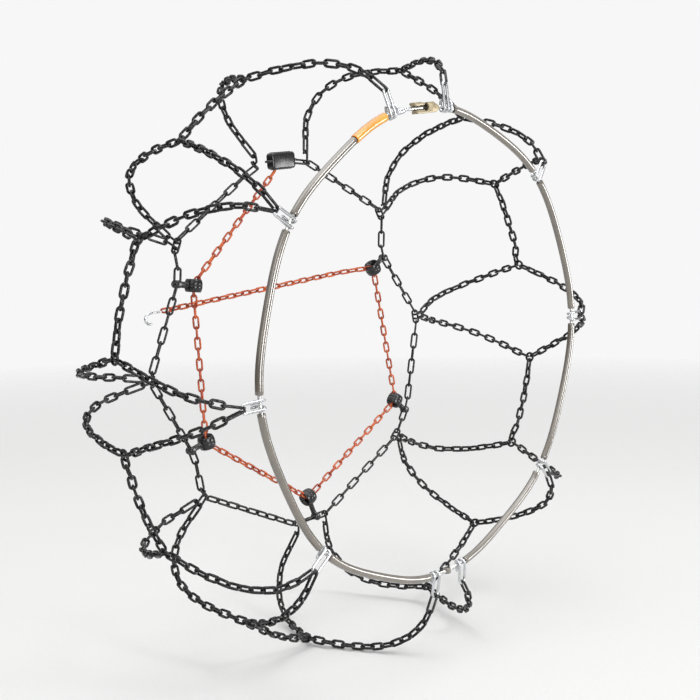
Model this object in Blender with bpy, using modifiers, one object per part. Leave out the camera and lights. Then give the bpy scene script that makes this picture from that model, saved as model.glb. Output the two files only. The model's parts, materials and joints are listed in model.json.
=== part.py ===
"""Tyre snow chain with a sleeved cable hoop, as it sits on a 215/55 R17 tyre.

The axle is the Y axis through the origin and Z is up. The cable hoop is on the -Y side, which faces the
car, and the side chain with its tensioner is on the +Y side. Angles are in degrees about the axle, from
+X towards +Z. Eight H-shaped sections of chain net cross the tread between them.
"""

import math

import bmesh
import bpy
from mathutils import Matrix, Vector

MM = 0.001

# The chain's run over the tyre: a superellipse across the tread, turned about the axle
BULGE_R = 262 * MM
CROWN_R = 341 * MM
HALF_WIDTH = 118 * MM
SHAPE_POWER = 3.0

# Cable hoop: it sits a little high and oval, and the hooks pull it outwards
HOOP_R = 261.7 * MM
HOOP_SHIFT_X = 3.2 * MM
HOOP_SHIFT_Z = 10.5 * MM
HOOP_OVAL = 6.4 * MM
HOOP_OVAL_DEG = 32
HOOP_PULL = 2.4 * MM
HOOP_PULL_SPAN_DEG = 40
HOOP_Y = -116 * MM
CABLE_R = 2.0 * MM
SLEEVE_R = 4.2 * MM
ORANGE_SLEEVE_R = 5.0 * MM
SLEEVE_WALL = 1.2 * MM
SLEEVE_GAP = 0.5 * MM
ORANGE_SLEEVE_END_DEG = 119
BARE_DEG = 1.9
BARE_BEFORE_LAST_DEG = 3.3
STATION_DEG = 5.5

# Inner hooks, one at each end of the net's cross chains
HOOK_DEG = (105.5, 146.5, 186.0, 226.5, 269.0, 279.5, 323.0, 366.0, 406.5, 446.5)
HOOK_LENGTH = 24 * MM
LONG_HOOK_LENGTH = 28 * MM
LONG_HOOKS = (0, 9)
HOOK_WIRE_R = 1.6 * MM
HOOK_LEG = 4.6 * MM
LONG_HOOK_LEG = 3.4 * MM
HOOK_EYE_R = 4.3 * MM
HOOK_FREE_END = 9 * MM
HOOK_RISE = 0.65 * MM

# Coupling that closes the hoop, and the cable end that it holds
COUPLING_DEG = 453.25
COUPLING_LENGTH = 36 * MM
COUPLING_WIDTH = 12 * MM
COUPLING_THICK = 9 * MM
COUPLING_STEP = 3 * MM
COUPLING_BACK = 1.2 * MM
SLOT_WIDTH = 5.2 * MM
POCKET_R = 4.6 * MM
BORE_R = 2.5 * MM
CABLE_IN_COUPLING = 8 * MM
CABLE_STRAIGHT = 1 * MM
NIPPLE_R = 2.9 * MM
NIPPLE_LENGTH = 6 * MM
NIPPLE_FROM_MIDDLE = 3 * MM
END_PIVOT_FROM_MIDDLE = 33.5 * MM
END_PIVOT_GAP = 2.4 * MM
FERRULE_R = 3.4 * MM
FERRULE_LENGTH = 9.4 * MM
FERRULE_BORE = 5.6 * MM
CABLE_IN_FERRULE = 4.2 * MM
FITTING_CHAMFER = 1 * MM
STUD_R = 4.6 * MM
STUD_LENGTH = 5 * MM
STUD_FROM_HOOK = 10.5 * MM

# Chain: each run is one body whose links lie flat and on edge by turns
LINK_PITCH = 12 * MM
LINK_WIDTH = 9.6 * MM
LINK_WIRE = 3.0 * MM
END_LINK = 20 * MM
NECK = 1.3 * MM
HOOK_TO_CHAIN = 2.4 * MM
HANGS_INSIDE_HOOK = 0.5 * MM
PATH_STEPS = 48
STRAND_APART = 2.7 * MM
NET_END_APART = 3.4 * MM

# Net sections: first and last hook, then each junction's distance from its own hook in degrees, and its y
SECTIONS = (
    (0, 1, 13.1, 8 * MM, 9.1, 11 * MM),
    (1, 2, 11.0, -2 * MM, 8.6, 7 * MM),
    (2, 3, 7.9, 9 * MM, 12.6, 11 * MM),
    (3, 4, 8.8, -14 * MM, 13.2, 4 * MM),
    (5, 6, 12.4, 6 * MM, 10.8, 8 * MM),
    (6, 7, 10.6, 2 * MM, 12.2, -4 * MM),
    (7, 8, 9.6, 7 * MM, 10.6, 9 * MM),
    (8, 9, 9.2, -6 * MM, 10.6, 5 * MM),
)
JUNCTION_GAP = 6.2 * MM

# Outer side: side chain, guides and tension chain
SIDE_Y = 105 * MM
SIDE_HOOK_R = 228 * MM
SIDE_PITCH = 17 * MM
SIDE_WIDTH = 9.2 * MM
SIDE_WIRE = 2.6 * MM
SIDE_NECK = 2.0 * MM
NET_END_R = 238 * MM
NET_LEAVES_R = 276 * MM
TENSION_Y = 107 * MM
TENSION_PITCH = 12 * MM
TENSION_WIDTH = 8.0 * MM
TENSION_WIRE = 2.4 * MM
TENSION_BELOW_LOCK = 1.5 * MM
GUIDE_MAJOR_R = 8.0 * MM
GUIDE_MINOR_R = 2.8 * MM
GUIDE_SHANK_R = 2.4 * MM
GUIDE_TO_CORNER = 24 * MM
SHANK_TO_CORNER = 7 * MM
CHAIN_IN_GUIDE = 1 * MM
# Each guide: the angle and radius of the side chain's corner there, and the direction of its shank
GUIDES = (
    (154.0, 203 * MM, 334.0),
    (215.0, 204 * MM, 35.0),
    (274.3, 220 * MM, 94.0),
    (334.5, 226 * MM, 160.0),
    (395.5, 190 * MM, 233.0),
)
LOCK_DEG = 456
LOCK_R = 226 * MM
LOCK_SIZE = (38 * MM, 20 * MM, 12 * MM)
LOCK_BEVEL = 2.5 * MM
SIDE_CHAIN_TO_LOCK = 1 * MM
RECESS_SIZE = (28 * MM, 9.6 * MM, 6.4 * MM)
LEVER_SIZE = (24 * MM, 8.6 * MM, 4.4 * MM)
LEVER_BEVEL = 0.9 * MM
LEVER_PIVOT_FROM_END = 2.6 * MM
TRUNNION_R = 1.5 * MM
TRUNNION_LENGTH = 15 * MM
TRUNNION_BORE_R = 1.95 * MM
TAIL_Y = 123.5 * MM
TAIL_FROM_GUIDE = 5.5 * MM
TAIL_START = 1 * MM
TAIL_HOOK_DEG = 166
TAIL_HOOK_R = 206 * MM
END_HOOK_WIRE_R = 1.5 * MM
END_HOOK_EYE_R = 4.0 * MM
END_HOOK_SHANK = 8 * MM
END_HOOK_BEND_R = 6.0 * MM
END_HOOK_TO_TAIL = 1 * MM
END_HOOK_EYE_DEG = 320
END_HOOK_BEND_DEG = 200
END_HOOK_STEP_DEG = 40

# How far a cutter stands out of the face that it cuts
CUTTER_OVER = 1 * MM

COLLECTION = "tyre_snow_chain"


def new_scene():
    for obj in list(bpy.data.objects):
        bpy.data.objects.remove(obj, do_unlink=True)
    for name in (COLLECTION, "cutters"):
        bpy.context.scene.collection.children.link(bpy.data.collections.new(name))


def material(name, color, metallic, roughness):
    mat = bpy.data.materials.new(name)
    mat.use_nodes = True
    shader = mat.node_tree.nodes["Principled BSDF"]
    shader.inputs["Base Color"].default_value = (*color, 1)
    shader.inputs["Metallic"].default_value = metallic
    shader.inputs["Roughness"].default_value = roughness
    mat.diffuse_color = (*color, 1)
    return mat


def place(obj, mat=None, collection=COLLECTION):
    """Puts an object in its collection, with its material."""
    for home in list(obj.users_collection):
        home.objects.unlink(obj)
    bpy.data.collections[collection].objects.link(obj)
    if mat:
        obj.data.materials.clear()
        obj.data.materials.append(mat)
    return obj


def hide(obj):
    """Marks an object as a tool: it shapes others and isn't part of the chain."""
    obj.hide_render = True
    obj.display_type = "WIRE"
    return place(obj, collection="cutters")


def hang(name, at, children):
    """An empty on a joint's axis, which carries the pieces that move with it."""
    empty = bpy.data.objects.new(name, None)
    empty.location = at
    bpy.data.collections[COLLECTION].objects.link(empty)
    for child in children:
        child.parent = empty
        child.matrix_parent_inverse = Matrix.Translation(at).inverted()
    return empty


def frame(origin, x_axis, z_axis):
    """The matrix of an object whose X and Z point along two directions at right angles."""
    y_axis = z_axis.cross(x_axis)
    return Matrix.Translation(origin) @ Matrix((x_axis, y_axis, z_axis)).transposed().to_4x4()


def from_bmesh(name, bm, matrix):
    bmesh.ops.recalc_face_normals(bm, faces=bm.faces)
    mesh = bpy.data.meshes.new(name)
    bm.to_mesh(mesh)
    bm.free()
    obj = bpy.data.objects.new(name, mesh)
    obj.matrix_world = matrix
    bpy.context.scene.collection.objects.link(obj)
    return obj


def boolean(obj, other, operation):
    """Cuts or joins another object, which is kept as a tool."""
    step = obj.modifiers.new(other.name, "BOOLEAN")
    step.operation = operation
    step.solver = "EXACT"
    step.object = hide(other)


def wire_curve(name, points, radius, caps=True):
    """A round wire, six-sided here, along straight stretches between points."""
    curve = bpy.data.curves.new(name, "CURVE")
    curve.dimensions = "3D"
    curve.bevel_depth = radius
    curve.bevel_resolution = 1
    curve.use_fill_caps = caps
    spline = curve.splines.new("POLY")
    spline.points.add(len(points) - 1)
    for slot, point in zip(spline.points, points):
        slot.co = (*point, 1)
    obj = bpy.data.objects.new(name, curve)
    bpy.context.scene.collection.objects.link(obj)
    return obj


def as_mesh(obj):
    """A curve object made a mesh, with its caps welded."""
    bpy.context.view_layer.update()
    mesh = bpy.data.meshes.new_from_object(obj.evaluated_get(bpy.context.evaluated_depsgraph_get()))
    bm = bmesh.new()
    bm.from_mesh(mesh)
    bmesh.ops.remove_doubles(bm, verts=bm.verts, dist=0.01 * MM)
    bm.to_mesh(mesh)
    bm.free()
    name, matrix = obj.name, obj.matrix_world.copy()
    bpy.data.objects.remove(obj, do_unlink=True)
    made = bpy.data.objects.new(name, mesh)
    made.matrix_world = matrix
    bpy.context.scene.collection.objects.link(made)
    return made


def turned(name, profile, matrix, steps=12, closed=False):
    """A profile of (radius, distance) pairs turned about the object's Z axis."""
    bm = bmesh.new()
    verts = [bm.verts.new((radius, 0, distance)) for radius, distance in profile]
    pairs = list(zip(verts, verts[1:]))
    if closed:
        pairs.append((verts[-1], verts[0]))
    for pair in pairs:
        bm.edges.new(pair)
    mesh = bpy.data.meshes.new(name)
    bm.to_mesh(mesh)
    bm.free()
    obj = bpy.data.objects.new(name, mesh)
    obj.matrix_world = matrix
    bpy.context.scene.collection.objects.link(obj)
    screw = obj.modifiers.new("turn", "SCREW")
    screw.steps = screw.render_steps = steps
    screw.use_merge_vertices = True
    screw.merge_threshold = 0.01 * MM
    return obj


def block(name, size, matrix, bevel=0.0):
    """A box of a given size about the matrix's origin, with its edges rounded off."""
    bm = bmesh.new()
    bmesh.ops.create_cube(bm, size=1)
    bmesh.ops.scale(bm, vec=size, verts=bm.verts)
    obj = from_bmesh(name, bm, matrix)
    if bevel:
        edge = obj.modifiers.new("edges", "BEVEL")
        edge.width = bevel
        edge.segments = 1
    return obj


def rod(name, radius, length, matrix, sides=12):
    """A cylinder about the matrix's Z axis, centred on its origin."""
    bm = bmesh.new()
    bmesh.ops.create_cone(
        bm, cap_ends=True, segments=sides, radius1=radius, radius2=radius, depth=length
    )
    return from_bmesh(name, bm, matrix)


def around(deg, radius, y):
    turn = math.radians(deg)
    return Vector((radius * math.cos(turn), y, radius * math.sin(turn)))


def direction(deg):
    return around(deg, 1, 0)


# Cable hoop


def hoop_point(deg):
    """The cable's centre: pulled out at each hook, and drawn in between hooks that are far apart."""
    deg = (deg - HOOK_DEG[0]) % 360 + HOOK_DEG[0]
    stops = HOOK_DEG + (HOOK_DEG[0] + 360,)
    low, high = next(pair for pair in zip(stops, stops[1:]) if deg <= pair[1])
    slack = min(1, ((high - low) / HOOP_PULL_SPAN_DEG) ** 2)
    pull = 1 - (1 - math.cos(2 * math.pi * (deg - low) / (high - low))) * slack
    oval = math.cos(2 * math.radians(deg - HOOP_OVAL_DEG))
    shift = around(deg, 1, 0).dot(Vector((HOOP_SHIFT_X, 0, HOOP_SHIFT_Z)))
    return around(deg, HOOP_R + shift + HOOP_OVAL * oval + HOOP_PULL * pull, HOOP_Y)


def bare_before(hook):
    return BARE_BEFORE_LAST_DEG if hook == len(HOOK_DEG) - 1 else BARE_DEG


def span_stations(hook):
    """Angles along the sleeve between one hook and the next."""
    low, high = HOOK_DEG[hook] + BARE_DEG, HOOK_DEG[hook + 1] - bare_before(hook + 1)
    if hook == 0:
        return evenly(low, ORANGE_SLEEVE_END_DEG) + evenly(ORANGE_SLEEVE_END_DEG, high)[1:]
    return evenly(low, high)


def evenly(low, high):
    count = max(1, math.ceil((high - low) / STATION_DEG))
    return [low + (high - low) * i / count for i in range(count + 1)]


def hook_frame(hook):
    """The cable's centre at a hook, the cable's direction there and the direction out to the tread."""
    low = hoop_point(HOOK_DEG[hook] - bare_before(hook))
    high = hoop_point(HOOK_DEG[hook] + BARE_DEG)
    along = (high - low).normalized()
    outward = along.cross(Vector((0, 1, 0))).normalized()
    outward *= math.copysign(1, outward.dot(low))
    centre = low + along * (hoop_point(HOOK_DEG[hook]) - low).dot(along)
    return centre, along, outward


def coupling_frame():
    """The coupling's middle, and its direction towards the first hook."""
    middle = hoop_point(COUPLING_DEG)
    near = hoop_point(COUPLING_DEG + 3) - hoop_point(COUPLING_DEG - 3)
    return middle, near.normalized()


def ferrule_frame():
    """The mouth of the ferrule at the first hook, and its direction towards the coupling."""
    middle, along = coupling_frame()
    pivot = middle + along * END_PIVOT_FROM_MIDDLE
    towards = (pivot - hoop_point(HOOK_DEG[0] - BARE_DEG)).normalized()
    return pivot - towards * (END_PIVOT_GAP + FERRULE_LENGTH), towards


def make_cable(mat):
    mouth, towards = ferrule_frame()
    middle, along = coupling_frame()
    points = [mouth + towards * CABLE_IN_FERRULE, mouth - towards * CABLE_STRAIGHT]
    points.append(hoop_point(HOOK_DEG[0] - BARE_DEG))
    for hook in range(len(HOOK_DEG) - 1):
        points += [hoop_point(deg) for deg in span_stations(hook)]
    points.append(hoop_point(HOOK_DEG[-1] + BARE_DEG))
    coupling_end = middle - along * COUPLING_LENGTH / 2
    points += [coupling_end - along * CABLE_STRAIGHT, coupling_end + along * CABLE_IN_COUPLING]
    place(wire_curve("hoop_cable", points, CABLE_R), mat)


def make_sleeve(name, stations, radius, mat):
    """A plastic tube round the cable, through the same points, drawn back a little at both ends."""
    points = [hoop_point(deg) for deg in stations]
    for end, near in ((0, 1), (-1, -2)):
        points[end] = points[end] + (points[near] - points[end]).normalized() * SLEEVE_GAP
    tube = as_mesh(wire_curve(name, points, radius, caps=False))
    wall = tube.modifiers.new("wall", "SOLIDIFY")
    wall.thickness = SLEEVE_WALL if radius == SLEEVE_R else SLEEVE_WALL + radius - SLEEVE_R
    wall.offset = -1
    wall.use_even_offset = True
    place(tube, mat)


def make_sleeves(grey, orange):
    for hook in range(len(HOOK_DEG) - 1):
        stations = span_stations(hook)
        if hook == 0:
            split = stations.index(ORANGE_SLEEVE_END_DEG)
            make_sleeve("sleeve_orange", stations[: split + 1], ORANGE_SLEEVE_R, orange)
            stations = stations[split:]
        make_sleeve(f"sleeve_grey_{hook + 1}", stations, SLEEVE_R, grey)


def make_inner_hook(hook, mat):
    """A wire loop: both legs pass over the cable and turn back beside themselves."""
    centre, along, outward = hook_frame(hook)
    length = hook_length(hook)
    leg = LONG_HOOK_LEG if hook in LONG_HOOKS else HOOK_LEG
    across = Vector((0, 1, 0))
    half = [(HOOK_FREE_END, HOOK_EYE_R, leg)]
    for turn in range(0, 181, 45):
        a = math.radians(turn)
        half.append((-HOOK_EYE_R * math.sin(a), HOOK_EYE_R * math.cos(a), leg))
    half.append((length - leg, -HOOK_RISE, leg))
    bend = leg * math.sqrt(0.5)
    half.append((length - leg + bend, 0, bend))
    local = [(out, y, -side) for out, y, side in half] + [(length, 0, 0)] + half[::-1]
    points = [outward * out + across * y + along * side for out, y, side in local]
    obj = wire_curve(f"inner_hook_{hook + 1}", points, HOOK_WIRE_R)
    obj.location = centre
    place(obj, mat)


def hook_length(hook):
    return LONG_HOOK_LENGTH if hook in LONG_HOOKS else HOOK_LENGTH


def make_coupling(mat):
    """A plate with a step at one end and a taper at the other, slotted from the front for the cable end."""
    middle, along = coupling_frame()
    front = Vector((0, -1, 0))
    outward = along.cross(front)
    half_l, half_w = COUPLING_LENGTH / 2, COUPLING_WIDTH / 2
    outline = [
        (half_l + COUPLING_STEP, half_w),
        (half_l + COUPLING_STEP, half_w - COUPLING_STEP),
        (half_l, half_w - COUPLING_STEP),
        (half_l, -half_w),
        (-half_l + 2 * COUPLING_STEP, -half_w),
        (-half_l, -half_w + COUPLING_STEP),
        (-half_l, half_w - COUPLING_STEP),
        (-half_l + 2 * COUPLING_STEP, half_w),
    ]
    curve = bpy.data.curves.new("coupling", "CURVE")
    curve.dimensions = "2D"
    curve.fill_mode = "BOTH"
    curve.extrude = COUPLING_THICK / 2
    spline = curve.splines.new("POLY")
    spline.points.add(len(outline) - 1)
    spline.use_cyclic_u = True
    for slot, (x, out) in zip(spline.points, outline):
        slot.co = (x, -out, 0, 1)
    plate = bpy.data.objects.new("coupling", curve)
    plate.matrix_world = frame(middle, along, front)
    bpy.context.scene.collection.objects.link(plate)
    plate = place(as_mesh(plate), mat)
    cut_depth = COUPLING_THICK - COUPLING_BACK + CUTTER_OVER
    cut_middle = front * (COUPLING_THICK / 2 + CUTTER_OVER - cut_depth / 2)
    slot_length = half_l + 2 * COUPLING_STEP - NIPPLE_FROM_MIDDLE
    slot_at = middle + along * (NIPPLE_FROM_MIDDLE + slot_length / 2) + cut_middle
    slot = block("coupling_slot", (slot_length, SLOT_WIDTH, cut_depth), frame(slot_at, along, front))
    boolean(plate, slot, "DIFFERENCE")
    pocket_at = middle + along * NIPPLE_FROM_MIDDLE + cut_middle
    pocket = rod("coupling_pocket", POCKET_R, cut_depth, frame(pocket_at, along, front))
    boolean(plate, pocket, "DIFFERENCE")
    bore_end = middle - along * half_l
    depth = CABLE_IN_COUPLING + CUTTER_OVER
    bore = rod("coupling_bore", BORE_R, 2 * depth, frame(bore_end, outward, along))
    boolean(plate, bore, "DIFFERENCE")


def make_cable_fittings(steel, zinc):
    mouth, towards = ferrule_frame()
    profile = [(0, FERRULE_BORE), (BORE_R, FERRULE_BORE), (BORE_R, 0), (FERRULE_R, 0)]
    profile.append((FERRULE_R, FERRULE_LENGTH - FITTING_CHAMFER))
    profile += [(FERRULE_R - FITTING_CHAMFER, FERRULE_LENGTH), (0, FERRULE_LENGTH)]
    side = Vector((0, 1, 0))
    place(turned("cable_ferrule", profile[::-1], frame(mouth, side, towards)), zinc)

    middle, along = coupling_frame()
    pivot = middle + along * END_PIVOT_FROM_MIDDLE
    nipple_far = END_PIVOT_FROM_MIDDLE - NIPPLE_FROM_MIDDLE + NIPPLE_LENGTH / 2
    nipple_near = nipple_far - NIPPLE_LENGTH
    profile = [(0, nipple_far), (NIPPLE_R, nipple_far), (NIPPLE_R, nipple_near)]
    profile += [(CABLE_R, nipple_near), (CABLE_R, 0), (0, 0)]
    place(turned("cable_end", profile, frame(pivot, side, -along)), steel)

    centre, along, _ = hook_frame(len(HOOK_DEG) - 1)
    half = STUD_LENGTH / 2
    rim = half - FITTING_CHAMFER
    narrow = STUD_R - FITTING_CHAMFER
    profile = [(BORE_R, half), (narrow, half), (STUD_R, rim)]
    profile += [(STUD_R, -rim), (narrow, -half), (BORE_R, -half)]
    stud_at = centre - along * STUD_FROM_HOOK
    place(turned("end_stud", profile, frame(stud_at, side, along), closed=True), zinc)


# Chain runs


def chain_run(name, joints, outward, width, wire, neck, mat, flat_first=False):
    """One run of chain between joints: every link is a bar that narrows one way and widens the other."""
    bm = bmesh.new()
    rings = []
    for index, (start, stop) in enumerate(zip(joints, joints[1:])):
        along = (stop - start).normalized()
        up = outward((start + stop) / 2)
        up = (up - along * up.dot(along)).normalized()
        side = along.cross(up)
        flat = (index % 2 == 0) == flat_first
        half_side, half_up = (width / 2, wire / 2) if flat else (wire / 2, width / 2)
        for at in (start + along * neck, stop - along * neck):
            corners = ((-1, -1), (1, -1), (1, 1), (-1, 1))
            ring = [at + side * half_side * a + up * half_up * b for a, b in corners]
            rings.append([bm.verts.new(corner) for corner in ring])
    for ring, following in zip(rings, rings[1:]):
        for k in range(4):
            bm.faces.new((ring[k], ring[k - 1], following[k - 1], following[k]))
    bm.faces.new(rings[0])
    bm.faces.new(rings[-1][::-1])
    return place(from_bmesh(name, bm, Matrix()), mat)


def off_tyre(point):
    """The direction away from the tyre at a point on the net."""
    return point - around(math.degrees(math.atan2(point.z, point.x)), BULGE_R, 0)


def to_side(_):
    return Vector((0, 1, 0))


def tyre_point(deg, sweep):
    """A point on the run over the tyre. Sweep is 0 at the inner bulge and pi at the outer one."""
    power = 2 / SHAPE_POWER
    y = -HALF_WIDTH * math.copysign(abs(math.cos(sweep)) ** power, math.cos(sweep))
    rise = max(0.0, math.sin(sweep)) ** power
    return around(deg, BULGE_R + (CROWN_R - BULGE_R) * rise, y)


def sweep_at_radius(radius):
    return math.asin(((radius - BULGE_R) / (CROWN_R - BULGE_R)) ** (SHAPE_POWER / 2))


def sweep_at_y(y):
    return math.acos(-math.copysign((abs(y) / HALF_WIDTH) ** (SHAPE_POWER / 2), y))


def steps_between(low, high):
    return [low + (high - low) * i / PATH_STEPS for i in range(PATH_STEPS + 1)]


def tyre_section(from_sweep, to_sweep):
    """Points across the tyre at angle 0."""
    return [tyre_point(0, sweep) for sweep in steps_between(from_sweep, to_sweep)]


def turned_path(section, from_deg, to_deg):
    """A section's points, turned about the axle by an angle that grows evenly with the distance covered."""
    covered = distances(section)
    return [
        around(from_deg + (to_deg - from_deg) * done / covered[-1], point.x, point.y)
        for done, point in zip(covered, section)
    ]


def distances(points):
    """The distance covered at each point of a path."""
    covered = [0.0]
    for start, stop in zip(points, points[1:]):
        covered.append(covered[-1] + (stop - start).length)
    return covered


def points_at(path, wanted):
    """The points at given distances along a path."""
    covered = distances(path)
    found = []
    index = 0
    for distance in wanted:
        while index < len(covered) - 2 and covered[index + 1] < distance:
            index += 1
        part = (distance - covered[index]) / (covered[index + 1] - covered[index])
        found.append(path[index].lerp(path[index + 1], part))
    return found


def link_joints(path, pitch, first=0.0, last=0.0, parity=None):
    """Joints along a path: links of an even pitch, with longer end links where they are given."""
    total = distances(path)[-1]
    middle = total - first - last
    count = max(1, round(middle / pitch))
    ends = (1 if first else 0) + (1 if last else 0)
    if parity is not None and (count + ends) % 2 != parity:
        count += 1 if middle / pitch > count else -1
    wanted = [first + middle * i / count for i in range(count + 1)]
    if first:
        wanted.insert(0, 0.0)
    if last:
        wanted.append(total)
    return points_at(path, wanted)


def beside_hook(hook, side, past_bend):
    """A point past an inner hook's bend, or before it, on the side of one of its two strands."""
    centre, along, outward = hook_frame(hook)
    return centre + outward * (hook_length(hook) + past_bend) + along * side * STRAND_APART


def cross_joints(hook, side, junction_deg, junction_y):
    """Joints of a cross chain, from its inner hook over the junction to the side chain."""
    start = beside_hook(hook, side, HOOK_TO_CHAIN)
    start_r = math.hypot(start.x, start.z)
    start_deg = math.degrees(math.atan2(start.z, start.x))
    start_deg += 360 * round((HOOK_DEG[hook] - start_deg) / 360)
    junction = sweep_at_y(junction_y)
    section = [Vector((start_r, start.y, 0))]
    section += tyre_section(sweep_at_radius(start_r + END_LINK / 2), junction)
    inner = turned_path(section, start_deg, junction_deg)
    section = tyre_section(junction, math.pi - sweep_at_radius(NET_LEAVES_R))
    section.append(Vector((NET_END_R, SIDE_Y, 0)))
    end_deg = HOOK_DEG[hook] + side * math.degrees(NET_END_APART / NET_END_R)
    outer = turned_path(section, junction_deg, end_deg)
    first = link_joints(inner, LINK_PITCH, first=END_LINK)
    links_so_far = len(first) - 1
    return first + link_joints(outer, LINK_PITCH, last=END_LINK, parity=(links_so_far + 1) % 2)[1:]


def make_section(number, section, mat):
    """Two cross chains and the tread chain that joins their junctions."""
    start_hook, stop_hook, start_off, start_y, stop_off, stop_y = section
    start_deg = HOOK_DEG[start_hook] + start_off
    stop_deg = HOOK_DEG[stop_hook] - stop_off
    net = (off_tyre, LINK_WIDTH, LINK_WIRE, NECK, mat)
    start_joints = cross_joints(start_hook, 1, start_deg, start_y)
    stop_joints = cross_joints(stop_hook, -1, stop_deg, stop_y)
    runs = [chain_run(f"cross_chain_{number}a", start_joints, *net)]
    runs.append(chain_run(f"cross_chain_{number}b", stop_joints, *net))
    places = zip(steps_between(start_deg, stop_deg), steps_between(start_y, stop_y))
    tread = [tyre_point(deg, sweep_at_y(y)) for deg, y in places]
    length = distances(tread)[-1] - 2 * JUNCTION_GAP
    count = round(length / LINK_PITCH)
    joints = points_at(tread, [JUNCTION_GAP + length * i / count for i in range(count + 1)])
    runs.append(chain_run(f"tread_chain_{number}", joints, *net, flat_first=True))
    hinge_start = beside_hook(start_hook, 1, -HANGS_INSIDE_HOOK)
    hinge_stop = beside_hook(stop_hook, -1, -HANGS_INSIDE_HOOK)
    hang(f"tread_section_{number}", (hinge_start + hinge_stop) / 2, runs)


def straight_joints(corners, pitch):
    """Joints along straight stretches, with one joint on every corner."""
    joints = [corners[0]]
    for start, stop in zip(corners, corners[1:]):
        count = max(1, round((stop - start).length / pitch))
        joints += [start.lerp(stop, i / count) for i in range(1, count + 1)]
    return joints


# Outer side


def guide_ring(guide):
    """The middle of a guide's ring, and the direction of its shank from the ring to the side chain."""
    corner_deg, corner_r, shank_deg = guide
    inward = direction(shank_deg)
    return around(corner_deg, corner_r, TENSION_Y) + inward * GUIDE_TO_CORNER, -inward


def side_corners():
    half = math.degrees((LOCK_SIZE[0] / 2 + SIDE_CHAIN_TO_LOCK) / LOCK_R)
    stops = [(HOOK_DEG[i], SIDE_HOOK_R) for i in range(len(HOOK_DEG))]
    stops += [(deg, radius) for deg, radius, _ in GUIDES]
    stops.append((LOCK_DEG - 360 + half, LOCK_R))
    stops.append((LOCK_DEG - half, LOCK_R))
    return [around(deg, radius, SIDE_Y) for deg, radius in sorted(stops)]


def tension_corners():
    """From under the lock through every guide."""
    lock_at = around(LOCK_DEG, LOCK_R, TENSION_Y)
    outward = direction(LOCK_DEG)
    left = Vector((0, 1, 0)).cross(outward) * -1
    start = lock_at - outward * (LOCK_SIZE[1] / 2 + TENSION_BELOW_LOCK) + left * LOCK_SIZE[0] / 4
    corners = [start]
    for guide in GUIDES:
        ring, shank = guide_ring(guide)
        corners.append(ring + shank * CHAIN_IN_GUIDE)
    return corners


def tail_frame():
    """The tail's pivot on the last guide, its far end, and its direction."""
    ring = tension_corners()[-1]
    far = around(TAIL_HOOK_DEG, TAIL_HOOK_R, TAIL_Y)
    start = Vector((ring.x, TAIL_Y, ring.z))
    along = (far - start).normalized()
    return start + along * TAIL_FROM_GUIDE, far, along


def make_guide(number, guide, mat):
    ring_at, shank = guide_ring(guide)
    across = Vector((0, 1, 0))
    bpy.ops.mesh.primitive_torus_add(
        major_radius=GUIDE_MAJOR_R, minor_radius=GUIDE_MINOR_R, major_segments=14, minor_segments=6
    )
    ring = bpy.context.active_object
    ring.name = f"guide_{number}"
    ring.matrix_world = frame(ring_at, shank, shank.cross(across))
    length = GUIDE_TO_CORNER - SHANK_TO_CORNER - GUIDE_MAJOR_R
    middle = ring_at + shank * (GUIDE_MAJOR_R + length / 2)
    stem = rod(f"guide_shank_{number}", GUIDE_SHANK_R, length, frame(middle, across, shank), sides=8)
    boolean(ring, stem, "UNION")
    return place(ring, mat)


def lock_frame():
    """The lock's middle, its direction along the side chain, and the direction away from the axle."""
    outward = direction(LOCK_DEG)
    left = Vector((0, 1, 0)).cross(outward) * -1
    return around(LOCK_DEG, LOCK_R, SIDE_Y), left, outward


def lever_pivot():
    at, left, _ = lock_frame()
    reach = RECESS_SIZE[0] / 2 - (RECESS_SIZE[0] - LEVER_SIZE[0]) / 2 - LEVER_PIVOT_FROM_END
    height = LOCK_SIZE[2] / 2 - LEVER_SIZE[2] / 2
    return at + left * reach + Vector((0, height, 0))


def make_lock(black, zinc):
    at, left, outward = lock_frame()
    face = Vector((0, 1, 0))
    body = block("lock_body", LOCK_SIZE, frame(at, left, face), LOCK_BEVEL)
    depth = RECESS_SIZE[2]
    top = at + face * LOCK_SIZE[2] / 2
    recess = block("lock_recess", (*RECESS_SIZE[:2], 2 * depth), frame(top, left, face))
    boolean(body, recess, "DIFFERENCE")
    pivot = lever_pivot()
    bore = rod("lever_bore", TRUNNION_BORE_R, 2 * LOCK_SIZE[1], frame(pivot, face, outward))
    boolean(body, bore, "DIFFERENCE")
    place(body, black)
    middle = pivot - left * (LEVER_SIZE[0] / 2 - LEVER_PIVOT_FROM_END)
    lever = block("lock_lever", LEVER_SIZE, frame(middle, left, face), LEVER_BEVEL)
    trunnion = rod("lever_trunnion", TRUNNION_R, TRUNNION_LENGTH, frame(pivot, face, outward))
    boolean(lever, trunnion, "UNION")
    return body, hang("lever_hinge", pivot, [place(lever, zinc)])


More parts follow.
